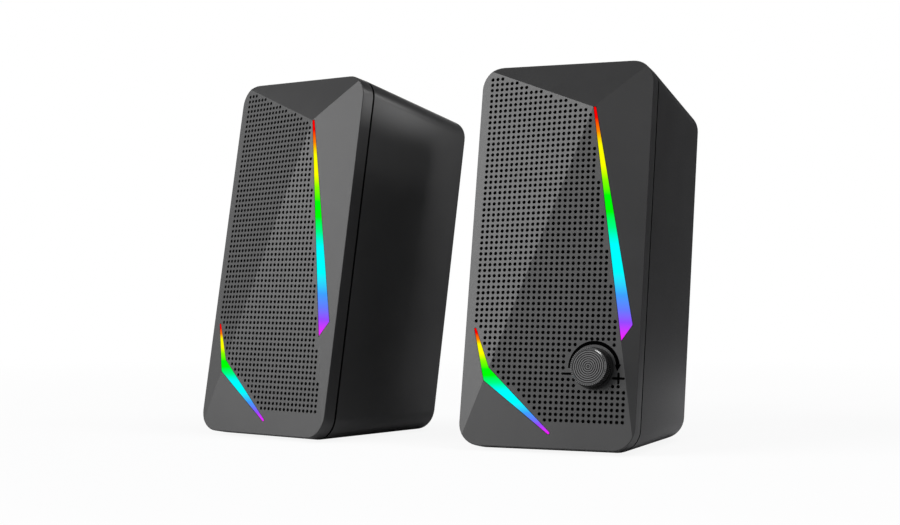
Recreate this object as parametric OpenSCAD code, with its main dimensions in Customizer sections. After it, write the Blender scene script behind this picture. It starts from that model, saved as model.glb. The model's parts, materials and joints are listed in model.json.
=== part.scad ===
// Pair of desktop speakers: a main speaker with a volume knob, and a satellite from the same moulds.
// Each speaker is drawn in its face frame: X across the face from its lower left corner,
// Y into the cabinet from the plane of the face's edge, Z up the face.

/* [Pair] */
// Angle by which both faces lean back
lean = 10; // [8:0.5:12]
// Distance from the main speaker's face corner to the satellite's, sideways
satellite_dx = 161; // [155:1:260]
// Distance from the main speaker's face corner to the satellite's, backwards
satellite_dy = 20; // [0:1:40]
// Angle by which the satellite is turned outwards
satellite_turn = 15; // [0:1:20]
// Main speaker's face corner from the middle of the pair, sideways
main_x = 35.1; // [30:0.05:90]
// Main speaker's face corner from the middle of the pair, forwards
main_y = 65.95; // [50:0.05:80]

/* [Face] */
// Width of the face
face_w = 90.3; // [88:0.1:94]
// Height of the face, measured along its lean
face_h = 190.7; // [188:0.1:194]
// Radius of the face's corners
corner_r = 11.2; // [9:0.1:13]
// Apex of the four facets from the left edge
apex_u = 62.9; // [60:0.1:66]
// Apex of the four facets from the lower edge
apex_v = 166; // [162:1:170]
// Height of the apex in front of the face's edge
apex_h = 7.6; // [6:0.1:9]
// Thickness of the facets
facet_wall = 2.4; // [2:0.1:2.8]
// Thickness of the rim round the facets
rim_wall = 2.2; // [1.8:0.1:2.4]
// Depth of the rim behind the face's edge
rim_d = 7.5; // [7:0.1:7.6]

/* [Grille] */
// Distance between neighbouring holes, both ways
hole_pitch = 2.8; // [2.6:0.05:3]
// Width of a hole between its corners
hole_d = 1.7; // [1.2:0.1:1.8]
// Sides of a hole
hole_sides = 6; // [4:1:8]
// Columns, and rows, from one drilled hole to the next
hole_step = 2; // [2:1:6]
// First column of holes from the left edge
hole_u = 5.6; // [5:0.1:6]
// First row of holes from the lower edge
hole_v = 13.6; // [13:0.1:15]
// Columns of holes in the widest row
hole_columns = 29; // [24:1:29]
// Rows of holes
hole_rows = 62; // [50:1:62]
// Bare land between hole centres and the upper crease
crease_land = 1.05; // [1:0.05:2]
// Bare land between hole centres and a light strip
strip_land = 1.5; // [1.3:0.05:3]

/* [Light strips] */
// Height of the upper strip's outer corner
strip_corner_v = 60; // [56:0.5:64]
// Height of the upper strip's lower tip
strip_tip_v = 52.2; // [48:0.1:55]
// Width of the upper strip at its outer corner
strip_w = 6.2; // [4:0.1:6.5]
// Width of the upper strip at its top
strip_top_w = 1.2; // [0.8:0.1:2]
// Chevron's upper tip from the left edge
chevron_tip_u = 4.9; // [4.2:0.1:5]
// Height of the chevron's upper tip
chevron_tip_v = 57.6; // [54:0.1:60]
// Height of the chevron's inner knee, on the ridge
chevron_inner_v = 38; // [36:0.5:40]
// Height of the chevron's outer knee, on the ridge
chevron_outer_v = 31.8; // [28:0.1:33]
// Chevron's lower tip from the left edge
chevron_end_u = 47.5; // [44:0.1:50]
// Chevron's lower tip from the lower edge
chevron_end_v = 7.1; // [6.5:0.1:9]
// Width of the chevron's tips
chevron_tip_w = 1; // [0.8:0.1:1.4]
// Distance of the strips' corners from the creases that they follow
crease_gap = 0.1; // [0.05:0.05:0.3]
// Thickness of the light guides
guide_t = 3.2; // [2.8:0.1:3.2]

/* [Volume knob] */
// Knob's axis from the left edge
knob_u = 68.6; // [66:0.1:70]
// Knob's axis from the lower edge
knob_v = 38.75; // [38:0.05:40]
// Radius of the knob's grip
knob_r = 9.1; // [8:0.1:9.4]
// Radius of the knob's skirt
skirt_r = 10; // [9.6:0.1:10.4]
// Height of the knob's end in front of the facet under it
knob_h = 7.8; // [7:0.1:9]
// Radius of the bare disc round the knob's upper half, where its scale is printed
scale_r = 13.9; // [12:0.1:14]
// Radius of the bare disc round the knob's lower half
bare_r = 11; // [11:0.1:12]
// Radius of the potentiometer's shaft
shaft_r = 3; // [2:0.5:3]

/* [Cabinet] */
// Depth of the cabinet's back behind the face's edge
back_d = 91; // [86:0.1:92]
// Width of the dark groove between rim and cabinet
groove_w = 1.1; // [0.8:0.1:1.2]
// Amount by which each side draws in towards the back
side_draft = 3.1; // [2:0.1:4]
// Amount by which the top draws in towards the back
top_draft = 2.3; // [1:0.1:3]
// Radius of the back's corners
back_r = 10.9; // [8:0.1:12]
// Thickness of the cabinet's walls
cabinet_wall = 2.6; // [2.2:0.1:2.6]
// Height of the face's lower edge above the flat underside
face_drop = 1.5; // [1.2:0.1:2]
// Radius of the bore in the main speaker's cable gland
main_gland_r = 4; // [3:0.1:4.5]
// Radius of the bore in the satellite's cable gland
satellite_gland_r = 2.5; // [2:0.1:3]

/* [Driver] */
// Driver's axis from the left edge
driver_u = 41; // [40:0.5:42]
// Driver's axis from the lower edge
driver_v = 115; // [110:1:118]
// Outer radius of the driver's flange
flange_r = 32; // [32:0.5:33]
// Radius of the circle of flange screws
flange_screw_r = 29.6; // [29.2:0.1:30]

/* [Feet] */
// Radius of a rubber foot
foot_r = 5; // [4:0.5:6]
// Amount by which a foot stands out under the cabinet
foot_out = 0.8; // [0.6:0.1:1]

/* [Hidden] */
$fn = 64;
coarse_fn = 32;
sliver = 0.01;
over = 1;
gap = 0.1;
cabinet_front = rim_d + groove_w;
joint_inset = 0.2;
tongue_t = 1.2;
tongue_d = 2;

// Baffle, which closes the cabinet and carries the driver and the boards
baffle_front = 9;
baffle_t = 2.5;
baffle_back = baffle_front + baffle_t;
baffle_inset = rim_wall + gap + tongue_t + gap;
cutout_r = 27.2;

// Circuit boards
led_board_front = 4;
led_board_t = 1.2;
led_board_w = 6.4;
led_t = 1;
led_size = [3, 2.6];
amp_board_y = 20.5;
amp_board_t = 1.6;
amp_board_from = [22, 30];
amp_board_size = [60, 40];
amp_posts = [[26, 34], [26, 66], [78, 66], [52, 34]];
post_r = 3;

// Screws
cover_bosses = [[10, 14], [79, 8], [80, face_h - 9], [30, face_h - 7]];
cover_boss_r = 3.2;
cover_screw = [1.2, 2.4, 1.5, 8];
cabinet_tubes = [[14, 24], [79, 24], [15, face_h - 15], [75, face_h - 15]];
tube_r = 4.5;
tube_front = 20;
tube_floor = 6;
cabinet_screw = [1.5, 2.8, 2.2, 13];
driver_screw = [1.3, 2.3, 1.3, 5.2];
board_screw = [1.2, 2.2, 1.3, 6];
tube_bore_r = cabinet_screw[1] + 0.4;
flange_angles = [45:90:315];

// Potentiometer
pot_size = 16;
pot_front = baffle_back;
pot_back = amp_board_y;
bush_r = 3.5;
bush_front = 5.6;
shaft_gap = 0.05;
shaft_back = 18;
nut_r = 5.8;
nut_t = 2.2;

// Bare boxes for the printed signs, from the knob's axis
minus_at = [-13.3, -3.4];
minus_size = [6.8, 3.4];
plus_at = [12.6, -5.1];
plus_size = [7.8, 6.2];

// Light strip outlines, along the crease from the apex to the lower right corner and across the ridge
apex = [apex_u, apex_v];
strip_tip = [crease_u(strip_tip_v) + crease_gap, strip_tip_v];
strip_corner = [crease_u(strip_corner_v) + strip_w, strip_corner_v];
strip_outline = [apex + [crease_gap, 0], apex + [strip_top_w, 0], strip_corner, strip_tip];
chevron_tip = [chevron_tip_u, chevron_tip_v];
chevron_inner = [ridge_u(chevron_inner_v) + crease_gap, chevron_inner_v];
chevron_outer = [ridge_u(chevron_outer_v) + crease_gap, chevron_outer_v];
chevron_end = [chevron_end_u, chevron_end_v];
chevron_half = [0.35, 0.45] * chevron_tip_w;
chevron_outline = [
    chevron_tip, chevron_tip + [chevron_tip_w, 0], chevron_inner,
    chevron_end + chevron_half, chevron_end - chevron_half, chevron_outer
];
strip_led_ends = [apex + [1, -8], [80.8, 62]];
chevron_led_ends = [[7.3, 53], [13.5, 35], [42.8, 11.5]];
led_posts = [strip_led_ends[0] + [0.8, -4], strip_led_ends[1] + [-0.4, 2], [8.8, 49], [39.3, 14]];
led_post_r = 2;
strip_leds = 8;
chevron_leds = 3;

// Feet, measured along the table from the face's lower edge
feet_u = [24, 66];
feet_y = [24, 78];
foot_seat = 1;

// Cable gland
gland_u = face_w / 2;
gland_v = 36;
gland_wall = 2;
gland_flange = 2;
gland_flange_t = 1.4;
gland_front = back_d - cabinet_wall - 1.6;

charcoal = "#4a4a4c";
black = "#1b1b1c";
metal = "#9a9c9f";

// Where the crease to the lower right corner and the ridge to the lower left corner are at a height
function crease_u(v) = face_w - (face_w - apex_u) * v / apex_v;
function ridge_u(v) = apex_u * v / apex_v;

// Height of the facets in front of the face's edge
function facet_h(u, v) =
    apex_h * min(u / apex_u, v / apex_v, (face_w - u) / (face_w - apex_u), (face_h - v) / (face_h - apex_v));

// Height up the face of the flat underside, at a depth behind the face's edge
function under(y) = (y * sin(lean) - face_drop) / cos(lean);

// Distance of a point to the left of the line from a to b
function left_of(p, a, b) = cross(b - a, p - a) / norm(b - a);

// Unit vector to the left of the line from a to b
function left_normal(a, b) = [a.y - b.y, b.x - a.x] / norm(b - a);

// Whether a grid point is a hole: clear of the upper crease, of the upper strip's crease, and of the chevron
function clear_of_creases(p) =
    left_of(p, apex, [0, face_h]) >= crease_land && left_of(p, apex, [face_w, 0]) <= -strip_land;
function clear_of_chevron(p) =
    left_of(p, chevron_inner, chevron_end + chevron_half) >= strip_land
    && (p.y > chevron_tip_v
        ? norm(p - chevron_outline[1]) >= strip_land
        : left_of(p, chevron_outline[1], chevron_inner) >= strip_land);
function outside(d, size) = abs(d.x) > size.x / 2 || abs(d.y) > size.y / 2;
function clear_of_knob(p) = let (d = p - [knob_u, knob_v])
    norm(d) >= (d.y > -hole_pitch / 3 ? scale_r : bare_r)
    && outside(d - minus_at, minus_size)
    && outside(d - plus_at, plus_size);
function is_hole(p, knob) = clear_of_creases(p) && clear_of_chevron(p) && (!knob || clear_of_knob(p));

// Placing: a speaker stands with its underside on its feet, and its face leans back
module lean_back() {
    translate([0, 0, foot_out + face_drop]) rotate([-lean, 0, 0]) children();
}

module at_main() {
    translate([main_x, -main_y, 0]) children();
}

module at_satellite() {
    translate([main_x - satellite_dx, satellite_dy - main_y, 0]) rotate([0, 0, -satellite_turn]) children();
}

// Outline on the face, pulled back from depth y0 to depth y1
module through(y0, y1) {
    translate([0, y1, 0]) rotate([90, 0, 0]) linear_extrude(height = y1 - y0) children();
}

// Round post on the face, from depth y0 to depth y1
module post(at, r, y0, y1) {
    translate([at.x, y1, at.y]) rotate([90, 0, 0]) cylinder(r = r, h = y1 - y0);
}

module rounded(size, r) {
    translate([r, 0]) square([size.x - 2 * r, size.y]);
    translate([0, r]) square([size.x, size.y - 2 * r]);
    for (x = [r, size.x - r], y = [r, size.y - r]) translate([x, y]) circle(r);
}

module face_outline(inset) {
    translate([inset, inset]) rounded([face_w - 2 * inset, face_h - 2 * inset], corner_r - inset);
}

// Straight bar between two points on the face
module bar(a, b, w) {
    translate(a) rotate(atan2(b.y - a.y, b.x - a.x)) translate([0, -w / 2]) square([norm(b - a), w]);
}

// Solid behind the four facets, moved back by a depth
module facet_block(back) {
    deep = 30;
    corners = [[0, 0], [face_w, 0], [face_w, face_h], [0, face_h]];
    translate([0, back, 0]) polyhedron(
        points = concat(
            [for (c = corners) [c.x, 0, c.y]],
            [for (c = corners) [c.x, deep, c.y]],
            [[apex_u, -apex_h, apex_v]]
        ),
        faces = concat(
            [[4, 5, 6, 7]],
            [for (i = [0:3]) let (next = (i + 1) % 4) [i, next, next + 4, i + 4]],
            [for (i = [0:3]) [8, (i + 1) % 4, i]]
        )
    );
}

// Screw that points towards the front, with its head's seat at a depth. A screw's sizes are
// its shank's radius, its head's radius, its head's height and its shank's length.
module screw(at, seat, s) {
    post(at, s[0], seat - s[3], seat + s[2] / 2);
    difference() {
        post(at, s[1], seat, seat + s[2]);
        post(at, s[0], seat + s[2] / 2, seat + s[2] + over);
    }
}

// Front cover

module grille_holes(knob) {
    for (i = [0:hole_step:hole_columns - 1], j = [0:hole_step:hole_rows - 1]) {
        p = [hole_u + i * hole_pitch, hole_v + j * hole_pitch];
        if (is_hole(p, knob)) post(p, hole_d / 2, -apex_h - over, facet_wall + over, $fn = hole_sides);
    }
}

module front_cover(knob) {
    color(charcoal) difference() {
        union() {
            difference() {
                intersection() {
                    through(-apex_h - over, rim_d) face_outline(0);
                    facet_block(0);
                }
                intersection() {
                    through(-apex_h - over, rim_d + over) face_outline(rim_wall);
                    facet_block(facet_wall);
                }
            }
            for (p = cover_bosses) post(p, cover_boss_r, facet_wall / 2 - facet_h(p.x, p.y), baffle_front);
        }
        for (p = cover_bosses)
            post(p, cover_screw[0] + gap / 2, baffle_back - cover_screw[3] - over, baffle_front + over);
        through(-apex_h - over, rim_d) polygon(strip_outline);
        through(-apex_h - over, rim_d) polygon(chevron_outline);
        if (knob) post([knob_u, knob_v], shaft_r + 1, -apex_h, rim_d);
        grille_holes(knob);
    }
}

// Light strips

module light_guide(outline) {
    color("#e8f4ff") difference() {
        intersection() {
            through(-apex_h - over, rim_d) polygon(outline);
            facet_block(0);
        }
        facet_block(guide_t);
    }
}

module upper_light_guide() {
    light_guide(strip_outline);
}

module lower_light_guide() {
    light_guide(chevron_outline);
}

module upper_led_board() {
    color("darkgreen") through(led_board_front, led_board_front + led_board_t)
        bar(strip_led_ends[0], strip_led_ends[1], led_board_w);
}

module lower_led_board() {
    ends = chevron_led_ends;
    first = led_board_w / 2 * left_normal(ends[0], ends[1]);
    last = led_board_w / 2 * left_normal(ends[1], ends[2]);
    mitre = (first + last) / (1 + first * last / (first * first));
    color("darkgreen") through(led_board_front, led_board_front + led_board_t) polygon([
        ends[0] + first, ends[1] + mitre, ends[2] + last, ends[2] - last, ends[1] - mitre, ends[0] - first
    ]);
}

module led_row(a, b, count) {
    turn = atan2(b.y - a.y, b.x - a.x);
    for (i = [0:count - 1]) {
        p = a + (b - a) * (i + 0.5) / count;
        through(led_board_front - led_t, led_board_front)
            translate(p) rotate(turn) square(led_size, center = true);
    }
}

module leds() {
    color("white") {
        led_row(strip_led_ends[0], strip_led_ends[1], strip_leds);
        led_row(chevron_led_ends[0], chevron_led_ends[1], chevron_leds);
        led_row(chevron_led_ends[1], chevron_led_ends[2], chevron_leds + 1);
    }
}

// Cabinet

module cabinet_section(y, side, top, bottom, r) {
    size = [face_w - 2 * side, face_h - top - under(y) - bottom];
    translate([side, 0, under(y) + bottom]) through(y, y + sliver) rounded(size, r, $fn = coarse_fn);
}

module cabinet_outside() {
    hull() {
        cabinet_section(cabinet_front, joint_inset, joint_inset, 0, corner_r);
        cabinet_section(back_d - sliver, side_draft, top_draft, 0, back_r);
    }
}

module cabinet_inside() {
    w = cabinet_wall;
    hull() {
        cabinet_section(cabinet_front - sliver, joint_inset + w, joint_inset + w, w, corner_r - w);
        cabinet_section(back_d - w, side_draft + w, top_draft + w, w, back_r - w);
    }
}

module cabinet(gland_r) {
    color(charcoal) difference() {
        lean_back() difference() {
            union() {
                difference() {
                    cabinet_outside();
                    cabinet_inside();
                }
                through(rim_d - tongue_d, cabinet_front + over) difference() {
                    face_outline(rim_wall + gap);
                    face_outline(rim_wall + gap + tongue_t);
                }
                for (p = cabinet_tubes) post(p, tube_r, tube_front, back_d - cabinet_wall / 2);
            }
            for (p = cabinet_tubes) {
                post(p, cabinet_screw[0] + gap, tube_front - over, back_d);
                post(p, tube_bore_r, tube_front + tube_floor, back_d + over);
            }
            post([gland_u, gland_v], gland_r + gland_wall + gap / 2, gland_front - over, back_d + over);
        }
        for (x = feet_u, y = feet_y) translate([x, y, foot_out - over])
            cylinder(r = foot_r + gap, h = over + foot_seat);
    }
}

module baffle(knob) {
    color(black) difference() {
        union() {
            through(baffle_front, baffle_back) face_outline(baffle_inset);
            for (p = cabinet_tubes) post(p, tube_r, baffle_front + over, tube_front);
            for (p = led_posts) post(p, led_post_r, led_board_front + led_board_t, baffle_front + over);
            if (knob) for (p = amp_posts) post(p, post_r, baffle_front + over, amp_board_y);
        }
        post([driver_u, driver_v], cutout_r, baffle_front - over, baffle_back + over);
        for (a = flange_angles)
            post(flange_hole(a), driver_screw[0] + gap / 2, baffle_front - over, baffle_back + over);
        for (p = cover_bosses) post(p, cover_screw[0] + gap, baffle_front - over, baffle_back + over);
        for (p = cabinet_tubes) post(p, cabinet_screw[0] + gap / 2, baffle_back, tube_front + over);
        if (knob) {
            post([knob_u, knob_v], bush_r + gap, baffle_front - over, baffle_back + over);
            for (p = amp_posts) post(p, board_screw[0] + gap / 2, baffle_back, amp_board_y + over);
        }
    }
}

module cable_gland(bore_r) {
    at = [gland_u, gland_v];
    color(black) difference() {
        union() {
            post(at, bore_r + gland_wall, gland_front, back_d);
            post(at, bore_r + gland_wall + gland_flange, back_d, back_d + gland_flange_t);
        }
        post(at, bore_r, gland_front - over, back_d + gland_flange_t + over);
    }
}

module feet() {
    color(black) for (x = feet_u, y = feet_y)
        translate([x, y, 0]) cylinder(r = foot_r, h = foot_out + foot_seat);
}

module cover_screws() {
    color(metal) for (p = cover_bosses) screw(p, baffle_back, cover_screw);
}

module cabinet_screws() {
    color(metal) for (p = cabinet_tubes) screw(p, tube_front + tube_floor, cabinet_screw);
}

// Driver, turned about its own axis: Z points out of the face, from the baffle's front

function flange_hole(a) = [driver_u, driver_v] + flange_screw_r * [cos(a), sin(a)];

module driver_axis() {
    translate([driver_u, baffle_front, driver_v]) rotate([90, 0, 0]) children();
}

gasket_t = 0.8;
flange_t = 1.4;
flange_front = gasket_t + flange_t;
shelf_z = -12.6;
basket_back = -18;
plate_t = 3.4;
magnet_t = 8;
pole_r = 7.2;
coil_r = 7.6;
neck_z = -8.5;
rim_r = 20.4;
roll_r = 2.9;
soft_t = 0.5;
lip_w = 2.1;
top_plate_back = basket_back - plate_t;
magnet_back = top_plate_back - magnet_t;
windows = 6;

// Ring with a square section about the driver's axis
module ring(inner, outer, z0, z1) {
    translate([0, 0, z0]) difference() {
        cylinder(r = outer, h = z1 - z0);
        if (inner > 0) translate([0, 0, -over]) cylinder(r = inner, h = z1 - z0 + 2 * over);
    }
}

module driver_basket() {
    color("#3c3d40") driver_axis() difference() {
        rotate_extrude() polygon([
            [flange_r, flange_front], [flange_r, gasket_t], [26.6, gasket_t], [26.6, -1.5], [20.2, -11.5],
            [20.2, -14.6], [16.8, basket_back], [9.6, basket_back], [9.6, -16.8], [15.6, -16.8],
            [17.2, -15], [17.2, shelf_z], [18.8, shelf_z], [18.8, -11.2], [25.4, -1.2], [25.4, flange_front]
        ]);
        for (i = [0:windows - 1]) rotate([0, 0, i * 360 / windows])
            translate([14, -5, -11]) cube([16, 10, 8.5]);
        for (a = flange_angles) rotate([0, 0, a]) translate([flange_screw_r, 0, 0])
            cylinder(r = driver_screw[0] + 0.3, h = flange_front + over);
    }
}

module driver_gasket() {
    color("#2a2a2a") driver_axis() difference() {
        ring(cutout_r, flange_r, 0, gasket_t);
        for (a = flange_angles) rotate([0, 0, a]) translate([flange_screw_r, 0, -over])
            cylinder(r = driver_screw[0] + 0.3, h = gasket_t + 2 * over);
    }
}

module driver_top_plate() {
    color(metal) driver_axis() ring(9.4, 17, top_plate_back, basket_back);
}

module driver_magnet() {
    color("#333337") driver_axis() ring(11.5, 20, magnet_back, top_plate_back);
}

module driver_yoke() {
    color(metal) driver_axis() {
        ring(0, 19, magnet_back - plate_t, magnet_back);
        ring(0, pole_r, magnet_back - over, basket_back);
    }
}

// Corrugated disc that centres the coil: waves between the basket's shelf and the coil's collar
module driver_spider() {
    inner = coil_r + 0.8;
    outer = 18.6;
    waves = 4;
    steps = 32;
    wave_h = 0.7;
    mid = shelf_z + soft_t / 2;
    flat_w = 1.2;
    wave = [for (i = [0:steps])
        let (t = i / steps)
        [inner + flat_w + t * (outer - inner - 2 * flat_w), mid - wave_h * sin(360 * waves * t)]];
    line = concat([[inner, mid]], wave, [[outer, mid]]);
    last = len(line) - 1;
    color("#a8843c") driver_axis() rotate_extrude() polygon(concat(
        [for (p = line) p + [0, soft_t / 2]], [for (i = [last:-1:0]) line[i] - [0, soft_t / 2]]
    ));
}

module driver_surround() {
    roll_mid = rim_r + roll_r - 0.2;
    color("#161617") driver_axis() {
        ring(rim_r - lip_w, roll_mid - roll_r + soft_t, flange_front, flange_front + soft_t);
        ring(roll_mid + roll_r - soft_t, roll_mid + roll_r + lip_w / 2, flange_front, flange_front + soft_t);
        rotate_extrude() translate([roll_mid, flange_front]) intersection() {
            difference() {
                circle(roll_r);
                circle(roll_r - soft_t);
            }
            translate([-roll_r, 0]) square([2 * roll_r, roll_r]);
        }
    }
}

module driver_cone() {
    t = soft_t;
    color("#242426") driver_axis() rotate_extrude() polygon([
        [coil_r, neck_z], [coil_r, neck_z + t], [coil_r + 2.4, neck_z + t], [rim_r - lip_w, flange_front],
        [rim_r, flange_front], [rim_r, flange_front - t], [rim_r - lip_w + 0.3, flange_front - t],
        [coil_r + 2.7, neck_z]
    ]);
}

module driver_dust_cap() {
    ball_r = 12;
    base_r = coil_r + 2;
    base_z = neck_z + soft_t;
    color("#242426") driver_axis() translate([0, 0, base_z]) intersection() {
        translate([0, 0, -sqrt(ball_r * ball_r - base_r * base_r)]) difference() {
            sphere(ball_r);
            sphere(ball_r - soft_t);
        }
        cylinder(r = base_r + over, h = ball_r);
    }
}

module driver_voice_coil() {
    former_t = 0.3;
    wire_t = 0.7;
    collar_z = shelf_z + soft_t;
    color("#b87333") driver_axis() {
        ring(coil_r, coil_r + former_t, -23, neck_z);
        ring(coil_r + former_t / 2, coil_r + former_t + wire_t, -22.5, -17.5);
        ring(coil_r + former_t / 2, coil_r + 2, collar_z, collar_z + soft_t);
    }
}

module driver_screws() {
    seat = baffle_front - flange_front;
    color(metal) for (a = flange_angles) translate([0, 2 * seat, 0]) mirror([0, 1, 0])
        screw(flange_hole(a), seat, driver_screw);
}

// Volume control

knob_seat = -facet_h(knob_u, knob_v);
knob_front = knob_seat - knob_h;
knob_back = knob_seat - 0.9;
shaft_front = knob_front + 1.6;
shaft_flat = 1.5;

module d_shaft(y0, y1) {
    difference() {
        post([knob_u, knob_v], shaft_r, y0, y1);
        translate([knob_u - shaft_r, shaft_front - over, knob_v + shaft_flat])
            cube([2 * shaft_r, knob_back - shaft_front + over, shaft_r]);
    }
}

module volume_knob() {
    chamfer = 0.5;
    skirt_t = 1.1;
    color(charcoal) difference() {
        translate([knob_u, 0, knob_v]) rotate([90, 0, 0]) rotate_extrude() polygon([
            [0, -knob_front], [knob_r - chamfer, -knob_front], [knob_r, -knob_front - chamfer],
            [knob_r, -knob_back + skirt_t], [skirt_r, -knob_back + skirt_t],
            [skirt_r, -knob_back], [0, -knob_back]
        ]);
        d_shaft(shaft_front, knob_back + over);
    }
}

module potentiometer_shaft() {
    color(metal) d_shaft(shaft_front, shaft_back);
}

module potentiometer_body() {
    half = pot_size / 2;
    color("silver") difference() {
        union() {
            translate([knob_u - half, pot_front, knob_v - half])
                cube([pot_size, pot_back - pot_front, pot_size]);
            post([knob_u, knob_v], bush_r, bush_front, pot_front + over);
        }
        post([knob_u, knob_v], shaft_r + shaft_gap, bush_front - over, shaft_back + over);
    }
}

module potentiometer_nut() {
    color("silver") difference() {
        post([knob_u, knob_v], nut_r, baffle_front - nut_t, baffle_front, $fn = 6);
        post([knob_u, knob_v], bush_r + shaft_gap, baffle_front - nut_t - over, baffle_front + over);
    }
}

// Amplifier

module amplifier_board() {
    color("darkgreen") difference() {
        through(amp_board_y, amp_board_y + amp_board_t) translate(amp_board_from) square(amp_board_size);
        for (p = amp_posts)
            post(p, board_screw[0] + gap, amp_board_y - over, amp_board_y + amp_board_t + over);
    }
}

module amplifier_parts() {
    foot = amp_board_y + amp_board_t;
    fin_t = 1;
    color("#2c2c30") {
        for (v = [42, 56]) post([68, v], 4, foot, foot + 11);
        through(foot, foot + 3) translate([36, 44]) square([12, 9]);
        for (i = [0:4]) through(foot + 3, foot + 9) translate([36 + i * 2.75, 44]) square([fin_t, 9]);
        for (u = [52, 60]) through(foot, foot + 6) translate([u, 61]) square([6, 5]);
    }
}

module amplifier_screws() {
    color(metal) for (p = amp_posts) screw(p, amp_board_y + amp_board_t, board_screw);
}

at_main() lean_back() front_cover(true);  // main_front_cover
at_main() cabinet(main_gland_r);  // main_cabinet
at_main() lean_back() baffle(true);  // main_baffle
at_main() lean_back() upper_light_guide();  // main_upper_light_guide
at_main() lean_back() lower_light_guide();  // main_lower_light_guide
at_main() lean_back() upper_led_board();  // main_upper_led_board
at_main() lean_back() lower_led_board();  // main_lower_led_board
at_main() lean_back() leds();  // main_leds
at_main() lean_back() driver_basket();  // main_driver_basket
at_main() lean_back() driver_gasket();  // main_driver_gasket
at_main() lean_back() driver_top_plate();  // main_driver_top_plate
at_main() lean_back() driver_magnet();  // main_driver_magnet
at_main() lean_back() driver_yoke();  // main_driver_yoke
at_main() lean_back() driver_spider();  // main_driver_spider
at_main() lean_back() driver_surround();  // main_driver_surround
at_main() lean_back() driver_cone();  // main_driver_cone
at_main() lean_back() driver_dust_cap();  // main_driver_dust_cap
at_main() lean_back() driver_voice_coil();  // main_driver_voice_coil
at_main() lean_back() driver_screws();  // main_driver_screws
at_main() lean_back() cover_screws();  // main_cover_screws
at_main() lean_back() cabinet_screws();  // main_cabinet_screws
at_main() feet();  // main_feet
at_main() lean_back() cable_gland(main_gland_r);  // main_cable_gland
at_main() lean_back() volume_knob();
at_main() lean_back() potentiometer_shaft();
at_main() lean_back() potentiometer_body();
at_main() lean_back() potentiometer_nut();
at_main() lean_back() amplifier_board();
at_main() lean_back() amplifier_parts();
at_main() lean_back() amplifier_screws();
at_satellite() lean_back() front_cover(false);  // satellite_front_cover
at_satellite() cabinet(satellite_gland_r);  // satellite_cabinet
at_satellite() lean_back() baffle(false);  // satellite_baffle
at_satellite() lean_back() upper_light_guide();  // satellite_upper_light_guide
at_satellite() lean_back() lower_light_guide();  // satellite_lower_light_guide
at_satellite() lean_back() upper_led_board();  // satellite_upper_led_board
at_satellite() lean_back() lower_led_board();  // satellite_lower_led_board
at_satellite() lean_back() leds();  // satellite_leds
at_satellite() lean_back() driver_basket();  // satellite_driver_basket
at_satellite() lean_back() driver_gasket();  // satellite_driver_gasket
at_satellite() lean_back() driver_top_plate();  // satellite_driver_top_plate
at_satellite() lean_back() driver_magnet();  // satellite_driver_magnet
at_satellite() lean_back() driver_yoke();  // satellite_driver_yoke
at_satellite() lean_back() driver_spider();  // satellite_driver_spider
at_satellite() lean_back() driver_surround();  // satellite_driver_surround
at_satellite() lean_back() driver_cone();  // satellite_driver_cone
at_satellite() lean_back() driver_dust_cap();  // satellite_driver_dust_cap
at_satellite() lean_back() driver_voice_coil();  // satellite_driver_voice_coil
at_satellite() lean_back() driver_screws();  // satellite_driver_screws
at_satellite() lean_back() cover_screws();  // satellite_cover_screws
at_satellite() lean_back() cabinet_screws();  // satellite_cabinet_screws
at_satellite() feet();  // satellite_feet
at_satellite() lean_back() cable_gland(satellite_gland_r);  // satellite_cable_gland
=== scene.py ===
# %% [markdown]
# # A pair of desktop speakers
# Two small speakers from the same moulds: a main one with a volume knob, and a satellite without it. Each
# has a front cover of four flat facets, drilled with a grid of small holes and lit by two colour strips.
# The frame is the exact model. This script replaces the pieces that are seen with finer meshes, and gives
# the rest a finish.

# %% Load the frame
import json
import math

import bmesh
import bpy
from mathutils import Matrix, Vector


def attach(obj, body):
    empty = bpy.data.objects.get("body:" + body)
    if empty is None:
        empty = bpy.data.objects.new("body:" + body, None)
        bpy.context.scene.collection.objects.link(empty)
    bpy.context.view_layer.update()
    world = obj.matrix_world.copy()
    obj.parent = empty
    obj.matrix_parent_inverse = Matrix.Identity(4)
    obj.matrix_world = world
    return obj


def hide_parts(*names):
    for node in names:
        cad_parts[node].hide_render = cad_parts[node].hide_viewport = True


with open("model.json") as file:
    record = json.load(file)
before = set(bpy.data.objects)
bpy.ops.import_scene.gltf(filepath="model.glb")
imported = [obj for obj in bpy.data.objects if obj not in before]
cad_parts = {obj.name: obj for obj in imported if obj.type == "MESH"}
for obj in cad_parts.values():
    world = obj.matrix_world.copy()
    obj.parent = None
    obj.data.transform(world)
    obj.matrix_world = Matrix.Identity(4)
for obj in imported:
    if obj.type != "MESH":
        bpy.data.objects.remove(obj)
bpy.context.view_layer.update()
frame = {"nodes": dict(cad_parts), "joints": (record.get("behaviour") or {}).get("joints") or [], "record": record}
nodes = frame["nodes"]
joints = {joint["name"]: joint for joint in frame["joints"]}
mounts = {mount["name"]: mount for mount in frame["record"]["mounts"]}
scene = bpy.context.scene

# %% [markdown]
# Both speakers are drawn once, in millimetres, in the frame of their own face: X across it from the lower
# left corner, Y into the cabinet, Z up the face. One matrix for each takes a finished mesh to its place.
# The cone's axis says which way the face looks, and the cable bore says where it is.

# %% Face frames
MM = 0.001
BORE_AT = Vector((45.15, 89.7, 36))


def face_frame(speaker):
    """Matrix from the millimetres of a speaker's face to metres."""
    depth = -Vector(joints[f"{speaker}_cone_travel"]["axis"]).normalized()
    across = Vector((depth.y, -depth.x, 0)).normalized()
    turn = Matrix((across, depth, across.cross(depth))).transposed().to_4x4() @ Matrix.Scale(MM, 4)
    return Matrix.Translation(Vector(mounts[f"{speaker}_cable_bore"]["pos_m"]) - turn @ BORE_AT) @ turn


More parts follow.
